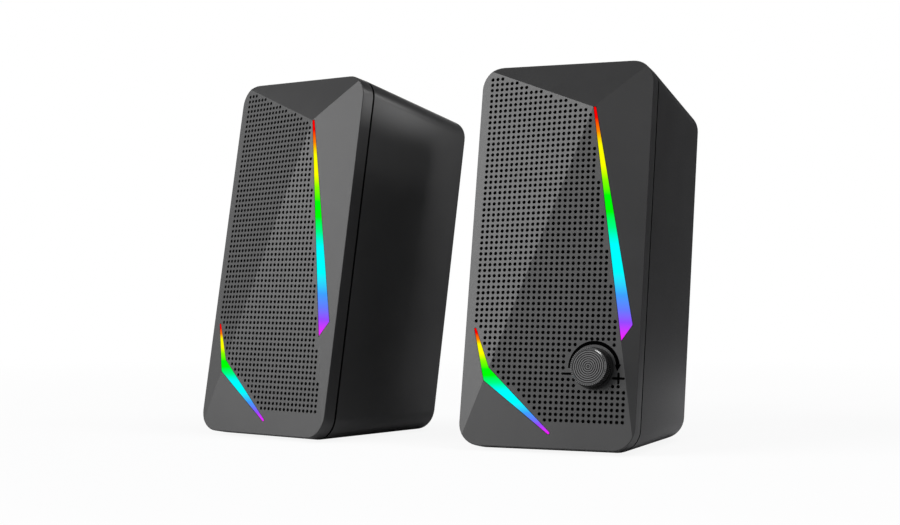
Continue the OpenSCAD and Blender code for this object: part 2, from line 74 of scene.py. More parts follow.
FACES = {speaker: face_frame(speaker) for speaker in ("main", "satellite")}
LEAN = math.asin(Vector(joints["main_cone_travel"]["axis"]).normalized().z)
KNOB_AT = FACES["main"].inverted() @ Vector(joints["volume_turn"]["pos_m"])
print("knob at", [round(x, 2) for x in KNOB_AT], "mm on the main face")
print("faces lean back by", round(math.degrees(LEAN), 2), "degrees")

# %% [markdown]
# The camera comes first, because everything else is judged through it. It stands to the right of the pair
# and looks almost level. Its place is measured from the first hole of the main grille, which is easy to
# find in a picture.

# %% Camera
FIRST_HOLE = Vector((5.6, -0.62, 13.6))
CAMERA_FROM_HOLE = Vector((329.9, -748.6, 66.4)) * MM
CAMERA_HEADING = Vector((-0.41384, 0.91034, 0.01123))
SENSOR_WIDTH, LENS = 36, 66.9

camera_data = bpy.data.cameras.new("camera")
camera_data.sensor_width = SENSOR_WIDTH
camera_data.lens = LENS
camera = bpy.data.objects.new("camera", camera_data)
camera.location = FACES["main"] @ FIRST_HOLE + CAMERA_FROM_HOLE
camera.rotation_euler = CAMERA_HEADING.to_track_quat("-Z", "Y").to_euler()
scene.collection.objects.link(camera)
scene.camera = camera
print("camera at", [round(x, 3) for x in camera.location])

# %% [markdown]
# ## Finishes
# A finish is a tree of nodes that ends in a shader. One helper adds a node with its options and inputs,
# here and in the trees for shapes, so that a finish reads as a list of what feeds what.


# %% Node helpers
def add_node(tree, kind, options=None, **inputs):
    """A new node. Each input takes a value, a socket to link, or a list of sockets."""
    node = tree.nodes.new(tree.bl_idname.removesuffix("Tree") + kind)
    for name, value in (options or {}).items():
        setattr(node, name, value)
    for label, value in inputs.items():
        socket = node.inputs[label.replace("_", " ")]
        for source in value if isinstance(value, list) else [value]:
            if isinstance(source, bpy.types.NodeSocket):
                tree.links.new(source, socket)
            else:
                socket.default_value = source
    return node


def node_material(name, color, roughness, metallic=0.0, specular=0.5):
    """A new material with even values, its tree and its shader."""
    material = bpy.data.materials.new(name)
    material.use_nodes = True
    shader = material.node_tree.nodes["Principled BSDF"]
    values = {"Base Color": (*color, 1), "Roughness": roughness, "Metallic": metallic}
    for label, value in {**values, "Specular IOR Level": specular}.items():
        shader.inputs[label].default_value = value
    return material, material.node_tree, shader


print("materials that come with the frame:", len(bpy.data.materials))

# %% [markdown]
# The shells are charcoal plastic from a spark-eroded mould: a fine, even grain that breaks up the
# highlights, and a slight unevenness in tone. Both come from noise on Object coordinates, so they run on
# across neighbouring pieces at true size. A picture of the grain would blur close up.

# %% Grained finish
DRIFT_GRAINS, GLOSS_DRIFT, RELIEF_DEPTH = 60, 0.05, 0.1 * MM
COOLNESS = 1.02


def object_noise(tree, scale, detail=2.0):
    """Noise on Object coordinates, with `scale` grains to a metre."""
    where = add_node(tree, "TexCoord").outputs["Object"]
    return add_node(tree, "TexNoise", Vector=where, Scale=scale, Detail=detail).outputs["Fac"]


def remap(tree, value, low, high, from_low=0.3, from_high=0.7):
    """The value, spread over a new range."""
    limits = {"From_Min": from_low, "From_Max": from_high, "To_Min": low, "To_Max": high}
    return add_node(tree, "MapRange", Value=value, **limits).outputs["Result"]


def grey(value):
    """A neutral colour, a trace cooler than plain grey."""
    return (value, value, value * COOLNESS)


def grained(name, dark, light, roughness, grain, bump, metallic=0.0, specular=0.5):
    """A finish with `grain` grains to a metre, and a slow drift in tone. A number stands for a grey."""
    dark, light = [tone if isinstance(tone, tuple) else grey(tone) for tone in (dark, light)]
    material, tree, shader = node_material(name, light, roughness, metallic, specular)
    tone = remap(tree, object_noise(tree, grain / DRIFT_GRAINS, detail=4), 0, 1)
    colors = {"Factor": tone, "A": (*dark, 1), "B": (*light, 1)}
    tint = add_node(tree, "Mix", {"data_type": "RGBA"}, **colors).outputs["Result"]
    tree.links.new(tint, shader.inputs["Base Color"])
    speck = object_noise(tree, grain)
    gloss = remap(tree, speck, roughness - GLOSS_DRIFT, roughness + GLOSS_DRIFT)
    tree.links.new(gloss, shader.inputs["Roughness"])
    relief = add_node(tree, "Bump", Strength=bump, Distance=RELIEF_DEPTH, Height=speck)
    tree.links.new(relief.outputs["Normal"], shader.inputs["Normal"])
    return material


print("relief is", RELIEF_DEPTH, "m deep at full strength")

# %% Plastic, rubber and print
SHELL_GRAIN = 2600
SHELL = grained("charcoal_plastic", 0.021, 0.025, 0.38, SHELL_GRAIN, 0.12, specular=0.3)
KNOB_FACE = grained("knob_face", 0.06, 0.07, 0.4, 3000, 0.05, specular=0.3)
KNOB_RIB = grained("knob_rib", 0.02, 0.028, 0.32, 3000, 0.05, specular=0.35)
# Near-black skirt and grip. The same finish in the rings' grooves is painted shade.
KNOB_SKIRT_AND_RING_SHADE = grained("knob_skirt", 0.003, 0.005, 0.45, 3000, 0.1, specular=0.12)
KNOB_EDGE = grained("knob_edge", 0.015, 0.02, 0.15, 3000, 0.02, specular=1.0)
RUBBER = grained("soft_rubber", 0.012, 0.018, 0.75, 1800, 0.25, specular=0.3)
BLACK_PLASTIC = grained("black_plastic", 0.01, 0.014, 0.6, 2000, 0.2, specular=0.3)
PRINT = grained("black_print", 0.0008, 0.0012, 0.6, 3500, 0.02, specular=0.0)
# Painted shade: near-black for the walls of the groove between cover and cabinet.
GROOVE_SHADE = grained("groove_felt", 0.003, 0.005, 0.9, 2000, 0.05, specular=0.0)
print("one speck of the shell's grain takes", round(1000 / SHELL_GRAIN, 2), "mm")

# %% [markdown]
# The light strips are clear guides lit from behind, in the colours of the rainbow from tip to tip. The mesh
# stores the height along the strip, which drives a colour ramp, and the ramp feeds the shader's emission.
# The surface mirrors nothing, so the strip glows in the colour that is written.

# %% Light strip finishes
RED, ORANGE, YELLOW, LIME = (1, 0, 0), (1, 0.22, 0), (1, 1, 0), (0.25, 1, 0)
GREEN, SEA, CYAN, SKY = (0, 1, 0.002), (0, 1, 0.25), (0, 1, 1), (0.05, 0.35, 1)
BLUE, VIOLET, MAGENTA = (0.13, 0.2, 1), (0.3, 0.07, 1), (1, 0.005, 1)
RAINBOW = (
    RED, RED, ORANGE, YELLOW, YELLOW, LIME, GREEN, GREEN, SEA, CYAN, CYAN, SKY, BLUE, VIOLET, MAGENTA,
)
UPPER_HEIGHTS = 166, 160.5, 154, 147, 137, 130, 122.5, 114, 106.5, 98.5, 85, 74, 67, 61, 52
LOWER_HEIGHTS = 58, 55, 52, 49.5, 45, 41.5, 37.5, 34, 30.4, 26.6, 20.5, 15.4, 12.3, 9.9, 5


def light_material(name, heights):
    """Emission that follows the mesh's own `along` value, in millimetres up the strip."""
    material, tree, shader = node_material(name, (0, 0, 0), 0.4, specular=0.0)
    low, high = heights[-1], heights[0]
    along = add_node(tree, "Attribute", {"attribute_name": "along"}).outputs["Fac"]
    ramp = add_node(tree, "ValToRGB", Fac=remap(tree, along, 0, 1, low, high))
    stops = ramp.color_ramp.elements
    while len(stops) < len(RAINBOW):
        stops.new(0.5)
    for stop, height, color in zip(stops, reversed(heights), reversed(RAINBOW)):
        stop.position = (height - low) / (high - low)
        stop.color = (*color, 1)
    tree.links.new(ramp.outputs["Color"], shader.inputs["Emission Color"])
    shader.inputs["Emission Strength"].default_value = 1.0
    return material


UPPER_LIGHT = light_material("upper_light", UPPER_HEIGHTS)
LOWER_LIGHT = light_material("lower_light", LOWER_HEIGHTS)
GUIDE_SIDE = grained("guide_side", 0.01, 0.015, 0.5, 2000, 0.05)
print("colour stops on each strip:", len(RAINBOW))

# %% [markdown]
# ## Shapes on the face
# The face is a rectangle with round corners. Four planes rise from its edges to one apex, so the height at
# any point is the lowest of four slopes. Everything on the front is placed with that one rule.

# %% Face rule
FACE_W, FACE_H, CORNER_R = 90.3, 190.7, 11.2
APEX = (62.9, 166)
APEX_HEIGHT = 7.6
CORNERS = ((0, 0), (FACE_W, 0), (FACE_W, FACE_H), (0, FACE_H))


def facet_height(u, v):
    """How far the facets stand out in front of the face's edge."""
    slopes = u / APEX[0], v / APEX[1], (FACE_W - u) / (FACE_W - APEX[0]), (FACE_H - v) / (FACE_H - APEX[1])
    return APEX_HEIGHT * min(slopes)


def crease_u(v):
    """Where the crease from the apex to the lower right corner is."""
    return FACE_W - (FACE_W - APEX[0]) * v / APEX[1]


def ridge_u(v):
    """Where the ridge from the apex to the lower left corner is."""
    return APEX[0] * v / APEX[1]


def left_of(p, a, b):
    """Distance of a point to the left of the line from a to b."""
    run, rise = b[0] - a[0], b[1] - a[1]
    return (run * (p[1] - a[1]) - rise * (p[0] - a[0])) / math.hypot(run, rise)


print("facets rise to", facet_height(*APEX), "mm at the apex")

# %% [markdown]
# Outlines are lists of points. All rounded rectangles have the same number of points, at the same turns, so
# a skin of quads fits between two of different size.

# %% Outline helpers
ARC_STEP = 10
ARC_ANGLES = [start + turn for start in (180, 270, 0, 90) for turn in range(0, 91, ARC_STEP)]
NORMALS = [Vector((math.cos(math.radians(a)), math.sin(math.radians(a)))) for a in ARC_ANGLES]
CURVE_SHARE = 0.45


def rounded_outline(left, right, bottom, top, radius):
    """Points round a rectangle with round corners. NORMALS has their directions."""
    west, east, south, north = left + radius, right - radius, bottom + radius, top - radius
    centres = (west, south), (east, south), (east, north), (west, north)
    per_corner = len(NORMALS) // 4
    return [Vector(centres[i // per_corner]) + radius * normal for i, normal in enumerate(NORMALS)]


def with_neighbours(points):
    """The corners of a polygon, each between the one before it and the one after."""
    corners = [Vector(p) for p in points]
    return zip(corners[-1:] + corners[:-1], corners, corners[1:] + corners[:1])


def inset_polygon(points, distance):
    """The polygon, counter-clockwise, with every edge moved inwards."""
    moved = []
    for before, corner, after in with_neighbours(points):
        come, go = (corner - before).normalized(), (after - corner).normalized()
        inward = Vector((-come.y, come.x)) + Vector((-go.y, go.x))
        moved.append(tuple(corner + inward * (distance / (1 + come.dot(go)))))
    return moved


def rounded_polygon(points, radius, steps=5):
    """The polygon with every corner cut to a short curve."""
    rounded = []
    for before, corner, after in with_neighbours(points):
        back, ahead = before - corner, after - corner
        reach = min(radius, CURVE_SHARE * back.length, CURVE_SHARE * ahead.length)
        start, end = corner + back.normalized() * reach, corner + ahead.normalized() * reach
        for t in [step / steps for step in range(steps + 1)]:
            rounded.append(tuple(start * (1 - t) ** 2 + corner * 2 * t * (1 - t) + end * t ** 2))
    return rounded


print("a rounded rectangle has", len(NORMALS), "points")

# %% [markdown]
# A mesh is made in bmesh from rings of points, joined by quads and closed by a polygon at each end. That
# one helper makes the rims, the cabinets and the cutters. A lathe does the same round an axis.


# %% Mesh helpers
def new_object(name, mesh_data):
    """A scene object from a bmesh."""
    bmesh.ops.recalc_face_normals(mesh_data, faces=mesh_data.faces)
    mesh = bpy.data.meshes.new(name)
    mesh_data.to_mesh(mesh)
    mesh_data.free()
    piece = bpy.data.objects.new(name, mesh)
    scene.collection.objects.link(piece)
    return piece


def add_rings(mesh_data, rings, caps=(True, True)):
    """Skins closed rings of points with quads, and caps the first and the last."""
    loops = [[mesh_data.verts.new(point) for point in ring] for ring in rings]
    count = len(loops[0])
    for front, back in zip(loops, loops[1:]):
        for i in range(count):
            j = (i + 1) % count
            mesh_data.faces.new((front[i], back[i], back[j], front[j]))
    if caps[0]:
        mesh_data.faces.new(loops[0])
    if caps[1]:
        mesh_data.faces.new(reversed(loops[-1]))
    return loops


def add_lathe(mesh_data, at, profile, sides):
    """Turns a profile of (radius, depth) about an axis through the face. A radius of 0 closes an end."""
    angles = [2 * math.pi * i / sides for i in range(sides)]
    rings = []
    for radius, depth in profile:
        points = [(at[0] + radius * math.cos(a), depth, at[1] + radius * math.sin(a)) for a in angles]
        rings.append([mesh_data.verts.new(point) for point in (points if radius else points[:1])])
    for first, second in zip(rings, rings[1:]):
        for i in range(sides):
            j = (i + 1) % sides
            corners = (first, i), (second, i), (second, j), (first, j)
            mesh_data.faces.new(list(dict.fromkeys(ring[k % len(ring)] for ring, k in corners)))


def turned_object(name, at, profile, sides):
    """A scene object turned from one profile."""
    shape = bmesh.new()
    add_lathe(shape, at, profile, sides)
    return new_object(name, shape)


def rod(radius, front, back):
    """The profile of a plain round rod."""
    return [(0, front), (radius, front), (radius, back), (0, back)]


print("a rod is a profile of", len(rod(1, 0, 1)), "points")


# %% Edges, shading and placing
def edge_round(radius, steps):
    """Inset and setback of points round an edge, from the face to the side. A sharp edge is one point."""
    if radius == 0:
        return [(0, 0)]
    angles = [math.radians(90 * step / steps) for step in range(steps + 1)]
    return [(radius * (1 - math.sin(a)), radius * (1 - math.cos(a))) for a in angles]


def shade(piece, angle=30):
    """Smooth shading, with edges over the angle left sharp."""
    piece.data.polygons.foreach_set("use_smooth", [True] * len(piece.data.polygons))
    piece.data.set_sharp_from_angle(angle=math.radians(angle))


def dress(piece, speaker, body, slot, *replaced):
    """Takes a mesh from the face's millimetres to its place on its body, and hides the parts it replaces."""
    piece.data.transform(FACES[speaker])
    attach(piece, body)
    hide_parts(*replaced)
    print(f"{piece.name}: {len(piece.data.polygons)} faces on {body}")


print("an edge rounding of 1 mm in two steps:", [(round(i, 2), round(s, 2)) for i, s in edge_round(1, 2)])

# %% [markdown]
# ## Geometry Nodes helpers
# A tree is built once and used on several objects. A modifier's values are set by the identifiers behind
# the names of its inputs. The result becomes a plain mesh, and the modifier is taken off again. The steps
# that the trees share are helpers too.


# %% Running a tree
def new_tree(name, objects, **others):
    """A tree with named inputs, the sockets that bring them in, and those for its result."""
    tree = bpy.data.node_groups.new(name, "GeometryNodeTree")
    kinds = {"Geometry": "Geometry", **dict.fromkeys(objects, "Object"), **others, "Finish": "Material"}
    for label, kind in kinds.items():
        tree.interface.new_socket(label.replace("_", " "), in_out="INPUT", socket_type=f"NodeSocket{kind}")
    tree.interface.new_socket("Geometry", in_out="OUTPUT", socket_type="NodeSocketGeometry")
    return tree, tree.nodes.new("NodeGroupInput").outputs, tree.nodes.new("NodeGroupOutput").inputs


def apply_tree(piece, tree, **values):
    """Runs the tree on the object and keeps the result as its mesh."""
    modifier = piece.modifiers.new(tree.name, "NODES")
    modifier.node_group = tree
    for item in tree.interface.items_tree:
        key = item.name.lower().replace(" ", "_")
        if item.in_out == "INPUT" and key in values:
            modifier[item.identifier] = values[key]
    evaluated = piece.evaluated_get(bpy.context.evaluated_depsgraph_get())
    mesh = bpy.data.meshes.new_from_object(evaluated)
    piece.modifiers.remove(modifier)
    piece.data = mesh


def point_object(name, points):
    """An object of bare points, for a tree to put copies on."""
    dots = bmesh.new()
    for point in points:
        dots.verts.new(point)
    return new_object(name, dots)


def discard(*helpers):
    """Removes objects that only served to cut or to place others."""
    for helper in helpers:
        bpy.data.objects.remove(helper)


print("trees so far:", len(bpy.data.node_groups))


# %% Steps of a tree
def shape_of(tree, given, label):
    """The geometry of the object that an input names."""
    return add_node(tree, "ObjectInfo", Object=given[label]).outputs["Geometry"]


def copies(tree, points, piece):
    """A copy of the piece on every point, as one mesh."""
    placed = add_node(tree, "InstanceOnPoints", Points=points, Instance=piece)
    return add_node(tree, "RealizeInstances", Geometry=placed.outputs["Instances"]).outputs["Geometry"]


def boolean(tree, operation, base, others):
    """Joins the others to the base or cuts them from it. A union has all its meshes on one input."""
    options = {"operation": operation, "solver": "MANIFOLD"}
    meshes = {"Mesh_2": [base, *others]} if operation == "UNION" else {"Mesh_1": base, "Mesh_2": others}
    return add_node(tree, "MeshBoolean", options, **meshes).outputs["Mesh"]


def finish_tree(tree, given, result, shape):
    """Gives the shape its finish and hands it out."""
    paint = add_node(tree, "SetMaterial", Geometry=shape, Material=given["Finish"])
    tree.links.new(paint.outputs["Geometry"], result["Geometry"])
    print(f"tree {tree.name} has {len(tree.nodes)} nodes")


print("steps:", ", ".join(step.__name__ for step in (shape_of, copies, boolean, finish_tree)))

# %% [markdown]
# ## Front cover
# The real cover is one moulding: facets, rim, holes and slots. Drawing over a thousand holes face by face
# would be slow to write and to change, so the cover starts as a plain block. A Geometry Nodes tree hollows
# it, cuts the slots, and puts a small cutter on every point of the grille. Cutters run a little past what
# they cut, so that no two faces lie in one plane.

# %% Block behind the facets
RIM_DEPTH, RIM_WALL, FACET_WALL, RIM_ROUND, RIM_STEPS = 7.5, 2.2, 2.4, 0.4, 5
OVERLAP = 1


def split_at_ridges(outline):
    """The outline's points and normals with those where a ridge crosses it, and the crossings' places."""
    points, normals, places = [], [], []
    for i, point in enumerate(outline):
        points.append(point)
        normals.append(NORMALS[i])
        after = outline[(i + 1) % len(outline)]
        for corner in CORNERS:
            before_by, after_by = left_of(point, APEX, corner), left_of(after, APEX, corner)
            outwards = (Vector(corner) - Vector(APEX)).dot(point - Vector(APEX)) > 0
            if before_by * after_by < 0 and outwards:
                t = before_by / (before_by - after_by)
                places.append(len(points))
                points.append(point.lerp(after, t))
                normals.append(NORMALS[i].lerp(NORMALS[(i + 1) % len(outline)], t).normalized())
    return points, normals, places


def facet_block(inset, edge, shift, back):
    """A closed block: facets moved back by `shift`, a rounded front edge, straight sides and a flat back."""
    low = inset + edge
    outline = rounded_outline(low, FACE_W - low, low, FACE_H - low, CORNER_R - low)
    points, normals, places = split_at_ridges(outline)
    rings = []
    for inward, setback in edge_round(edge, RIM_STEPS):
        moved = [point + normal * (edge - inward) for point, normal in zip(points, normals)]
        rings.append([(q.x, shift + setback - facet_height(*p), q.y) for p, q in zip(points, moved)])
    rings.append([(u, back, v) for u, y, v in rings[-1]])
    block = bmesh.new()
    first = add_rings(block, rings, caps=(False, True))[0]
    apex = block.verts.new((APEX[0], shift - APEX_HEIGHT, APEX[1]))
    for start, end in zip(places, places[1:] + [places[0] + len(first)]):
        block.faces.new([first[i % len(first)] for i in range(start, end + 1)] + [apex])
    return block


hollow = new_object("hollow", facet_block(RIM_WALL, 0, FACET_WALL, RIM_DEPTH + 2 * OVERLAP))
print("hollow has", len(hollow.data.polygons), "faces")

# %% [markdown]
# The strips lie along the creases between the facets. The upper one hangs from the apex beside the crease
# to the lower right corner. The lower one is a chevron with its knees on the ridge to the lower left
# corner. Each slot is a hair wider than its guide. The main cover also has the hole for the knob's shaft.

# %% Slots
CREASE_GAP = 0.1
UPPER_END, UPPER_BEND, UPPER_W, APEX_W = 52.2, 60, 6.2, 1.2
UPPER_STRIP = [
    (APEX[0] + CREASE_GAP, APEX[1]), (crease_u(UPPER_END) + CREASE_GAP, UPPER_END),
    (crease_u(UPPER_BEND) + UPPER_W, UPPER_BEND), (APEX[0] + APEX_W, APEX[1]),
]
CHEVRON_TOP, LOW_KNEE, HIGH_KNEE = 57.6, 31.8, 38
CHEVRON = [
    (4.9, CHEVRON_TOP), (ridge_u(LOW_KNEE) + CREASE_GAP, LOW_KNEE), (47.15, 6.65),
    (47.85, 7.55), (ridge_u(HIGH_KNEE) + CREASE_GAP, HIGH_KNEE), (5.9, CHEVRON_TOP),
]
TIP_ROUND, STRIP_GAP = 0.4, 0.2
KNOB_U, KNOB_V = KNOB_AT.x, KNOB_AT.z
SHAFT_HOLE_R, ROD_SIDES = 4, 32


def slot_cutter(knob):
    """What is cut through the facets for the strips and for the knob's shaft."""
    front, back = -APEX_HEIGHT - OVERLAP, RIM_DEPTH - OVERLAP
    slots = bmesh.new()
    for strip in (UPPER_STRIP, CHEVRON):
        outline = rounded_polygon(inset_polygon(strip, -STRIP_GAP), TIP_ROUND)
        add_rings(slots, [[(u, y, v) for u, v in outline] for y in (front, back)])
    if knob:
        add_lathe(slots, (KNOB_U, KNOB_V), rod(SHAFT_HOLE_R, front, back), ROD_SIDES)
    return new_object("slot_cutter", slots)


print("chevron's knees at", [round(u, 1) for u, v in (CHEVRON[1], CHEVRON[4])], "mm from the left edge")

# %% [markdown]
# The grille is a square grid, and a rule says which of its points are drilled: those clear of the creases
# and of the strips, and on the main speaker also of the knob, its printed scale and its two signs. One
# turned pin with a small chamfer is the cutter for every hole.

# %% Grille points
PITCH, COLUMNS, ROWS = 2.8, 29, 62
CREASE_LAND, STRIP_LAND = 1.05, 1.5
SCALE_LAND, KNOB_LAND = 13.9, 11.0
MINUS_AT, PLUS_AT = (55.3, 36.0), (81.2, 34.3)
SIGN_LANDS = ((MINUS_AT, (6.8, 3.4)), (PLUS_AT, (7.8, 6.2)))
chevron_tip, chevron_knee, chevron_end = CHEVRON[5], CHEVRON[4], CHEVRON[3]


def clear_of_strips(p):
    """Whether a hole keeps its land to the creases and to both strips."""
    if left_of(p, APEX, (0, FACE_H)) < CREASE_LAND or left_of(p, APEX, (FACE_W, 0)) > -STRIP_LAND:
        return False
    if left_of(p, chevron_knee, chevron_end) < STRIP_LAND:
        return False
    if p[1] > chevron_tip[1]:
        return math.dist(p, chevron_tip) >= STRIP_LAND
    return left_of(p, chevron_tip, chevron_knee) >= STRIP_LAND


def clear_of_knob(p):
    """Whether a hole keeps clear of the knob, the scale over it and its signs."""
    across, up = p[0] - KNOB_U, p[1] - KNOB_V
    land = SCALE_LAND if up > -PITCH / 3 else KNOB_LAND
    on_sign = any(abs(p[0] - u) < w / 2 and abs(p[1] - v) < h / 2 for (u, v), (w, h) in SIGN_LANDS)
    return math.hypot(across, up) >= land and not on_sign


def grille_points(knob):
    """Hole centres on the facets."""
    us = [FIRST_HOLE.x + i * PITCH for i in range(COLUMNS)]
    vs = [FIRST_HOLE.z + j * PITCH for j in range(ROWS)]
    grid = [(u, v) for u in us for v in vs]
    kept = [p for p in grid if clear_of_strips(p) and (not knob or clear_of_knob(p))]
    return [(u, -facet_height(u, v), v) for u, v in kept]


print("holes on the main and satellite grilles:", len(grille_points(True)), len(grille_points(False)))

# %% Hole cutter
HOLE_R, HOLE_CHAMFER, HOLE_SIDES = 0.86, 0.05, 14
PIN_FRONT, PIN_BACK, LEAD = -0.8, FACET_WALL + OVERLAP, 0.1
pin_head = HOLE_R + HOLE_CHAMFER + LEAD
hole_cutter = turned_object("hole_cutter", (0, 0), [
    (0, PIN_FRONT), (pin_head, PIN_FRONT), (pin_head, -LEAD), (HOLE_R, HOLE_CHAMFER), (HOLE_R, PIN_BACK),
    (0, PIN_BACK),
], HOLE_SIDES)
print("hole cutter has", len(hole_cutter.data.polygons), "faces")

# %% [markdown]
# Behind the facets stand four screw bosses, each with a blind bore for its screw. They reach back to the
# baffle.

# %% Screw bosses
BOSSES = ((10, 14), (79, 8), (80, FACE_H - 9), (30, FACE_H - 7))
BOSS_R, BOSS_BACK, BOSS_BORE_R, BOSS_BORE_FRONT, BORE_SIDES = 3.2, 9.0, 1.25, 2.5, 24
posts, blind_bores = bmesh.new(), bmesh.new()
for boss in BOSSES:
    front = FACET_WALL / 2 - facet_height(*boss)
    add_lathe(posts, boss, rod(BOSS_R, front, BOSS_BACK), ROD_SIDES)
    add_lathe(blind_bores, boss, rod(BOSS_BORE_R, BOSS_BORE_FRONT, BOSS_BACK + OVERLAP), BORE_SIDES)
boss_posts, boss_bores = new_object("boss_posts", posts), new_object("boss_bores", blind_bores)
print(len(BOSSES), "bosses reach back to", BOSS_BACK, "mm")

# %% [markdown]
# The tree cuts the hollow, the slots and all the holes from the block in one step. Then it adds the bosses
# and drills them. The manifold solver is quick enough for over a thousand cutters, and leaves a closed
# mesh.

# %% Perforating tree
CUTS = "Hollow", "Slots", "Hole Points", "Hole Cutter", "Bosses", "Boss Bores"
cover_tree, given, result = new_tree("perforated_cover", CUTS)
shapes = {label: shape_of(cover_tree, given, label) for label in CUTS}
holes = copies(cover_tree, shapes["Hole Points"], shapes["Hole Cutter"])
cut = boolean(cover_tree, "DIFFERENCE", given["Geometry"], [holes, shapes["Slots"], shapes["Hollow"]])
joined = boolean(cover_tree, "UNION", cut, [shapes["Bosses"]])
drilled = boolean(cover_tree, "DIFFERENCE", joined, [shapes["Boss Bores"]])
finish_tree(cover_tree, given, result, drilled)

# %% [markdown]
# Both covers come from the same block and tree. Smooth shading is taken off the facets again, because it
# would bend the light across the creases. The back of the rim is one wall of the groove to the cabinet. The
# groove shows as a dark line even at a flat angle, so its walls get a near-black finish: painted shade.

# %% Front covers
ON_FACET = 0.99999
GROOVE_BAND = 0.05


def flatten_facets(piece):
    """Flat shading on the four facets."""
    runs = (-1 / APEX[0], 0), (0, -1 / APEX[1]), (1 / (FACE_W - APEX[0]), 0), (0, 1 / (FACE_H - APEX[1]))
    normals = [Vector((APEX_HEIGHT * u, -1, APEX_HEIGHT * v)).normalized() for u, v in runs]
    for face in piece.data.polygons:
        if max(face.normal.dot(n) for n in normals) > ON_FACET:
            face.use_smooth = False


def paint_groove_shade(piece, low, high):
    """Painted shade: a near-black finish on the faces between two depths, which are the walls of the groove."""
    piece.data.materials.append(GROOVE_SHADE)
    for face in piece.data.polygons:
        if low < face.center.y < high:
            face.material_index = len(piece.data.materials) - 1


for speaker in FACES:
    has_knob = speaker == "main"
    hole_points = point_object("hole_points", grille_points(has_knob))
    slots = slot_cutter(has_knob)
    cover = new_object(f"{speaker}_cover", facet_block(0, RIM_ROUND, 0, RIM_DEPTH))
    apply_tree(
        cover, cover_tree, hollow=hollow, slots=slots, hole_points=hole_points, hole_cutter=hole_cutter,
        bosses=boss_posts, boss_bores=boss_bores, finish=SHELL,
    )
    shade(cover)
    flatten_facets(cover)
    # painted shade on the rim's back, one wall of the groove
    paint_groove_shade(cover, RIM_DEPTH - GROOVE_BAND, RIM_DEPTH + GROOVE_BAND)
    dress(cover, speaker, speaker, "shell", f"{speaker}_front_cover")
    discard(hole_points, slots)
discard(hollow, hole_cutter, boss_posts, boss_bores)

# %% [markdown]
# ## Light guides
# Each guide fills its slot but for a hair's breadth, which shows as a fine dark line. The mesh carries the
# height along the strip for the colour ramp. On the chevron's lower leg the bands of colour lean a little,
# so the value there also falls sideways.

# %% Light guides
GUIDE_T, GUIDE_ROUND, GUIDE_STEPS = 3.2, 0.12, 2
LEG_LEAN = 0.04
WELD = 0.001
FORWARD = -0.5


def light_guide(name, outline, lean, lit):
    """A guide whose front follows the facets. Its sides are dark, and beyond the ridge its colours lean."""
    shape = bmesh.new()
    rings = []
    for inward, setback in edge_round(GUIDE_ROUND, GUIDE_STEPS) + [(0, GUIDE_T)]:
        ring = rounded_polygon(inset_polygon(outline, inward), TIP_ROUND)
        rings.append([(u, setback, v) for u, v in ring])
    add_rings(shape, rings)
    ridge_side = Vector((APEX[1], 0, -APEX[0]))
    everything = shape.verts[:] + shape.edges[:] + shape.faces[:]
    bmesh.ops.bisect_plane(shape, geom=everything, dist=WELD, plane_co=(0, 0, 0), plane_no=ridge_side)
    for vert in shape.verts:
        vert.co.y -= facet_height(vert.co.x, vert.co.z)
    piece = new_object(name, shape)
    places = [(p.co.x, p.co.z) for p in piece.data.vertices]
    values = piece.data.attributes.new("along", "FLOAT", "POINT")
    values.data.foreach_set("value", [v - lean * max(0, u - ridge_u(v)) for u, v in places])
    piece.data.materials.append(lit)
    piece.data.materials.append(GUIDE_SIDE)
    for face in piece.data.polygons:
        face.material_index = 0 if face.normal.y < FORWARD else 1
    shade(piece, 20)
    return piece


STRIPS = {"upper": (UPPER_STRIP, 0, UPPER_LIGHT), "lower": (CHEVRON, LEG_LEAN, LOWER_LIGHT)}
for speaker in FACES:
    for strip, values in STRIPS.items():
        guide = light_guide(f"{speaker}_{strip}_light", *values)
        dress(guide, speaker, speaker, "light_guide", f"{speaker}_{strip}_light_guide")

# %% [markdown]
# ## Cabinet
# The cabinet is a deep tray behind the cover. Its sides draw in towards the back, and its underside is
# level while the face leans, so each cross-section is a rounded rectangle whose lower edge climbs. Rings at
# a few depths make the outside and the inside.

# %% Cabinet sections
CABINET_FRONT, BACK_DEPTH, CABINET_WALL = 8.6, 91, 2.6
SIDE_DRAFT, TOP_DRAFT, BACK_R = 3.1, 2.3, 10.9
FACE_DROP = 1.5
BACK_ROUND, BACK_STEPS, LIP_ROUND, LIP_STEPS = 2.4, 6, 0.2, 3


def underside(depth):
    """Height up the face of the level underside, at a depth."""
    return (depth * math.sin(LEAN) - FACE_DROP) / math.cos(LEAN)


def cabinet_ring(depth, inset):
    """One cross-section, drawn in by an inset."""
    t = (depth - CABINET_FRONT) / (BACK_DEPTH - CABINET_FRONT)
    side = t * SIDE_DRAFT + inset
    radius = CORNER_R + t * (BACK_R - CORNER_R) - inset
    top = FACE_H - t * TOP_DRAFT - inset
    ring = rounded_outline(side, FACE_W - side, underside(depth) + inset, top, radius)
    return [(u, depth, v) for u, v in ring]


def cabinet_block(front, back, inset, front_round, back_round):
    """A closed block with both its end edges rounded."""
    rings = [cabinet_ring(front + s, inset + i) for i, s in edge_round(front_round, LIP_STEPS)]
    rings += [cabinet_ring(back - s, inset + i) for i, s in reversed(edge_round(back_round, BACK_STEPS))]
    block = bmesh.new()
    add_rings(block, rings)
    return block


print("underside climbs", round(underside(BACK_DEPTH) - underside(0), 1), "mm up the face to the back")

# %% Cabinet cutters
TUBES = ((14, 24), (79, 24), (15, FACE_H - 15), (75, FACE_H - 15))
TUBE_R, TUBE_BORE_R, SHANK_R, TUBE_FRONT, TUBE_FLOOR, BORE_CHAMFER = 4.5, 3.2, 1.6, 20, 26, 0.5
LIP_FRONT, LIP_BACK = 5.5, CABINET_FRONT + OVERLAP
LIP_OUT, LIP_T = RIM_WALL + 0.1, 1.2
HOLLOW_ROUND = 1

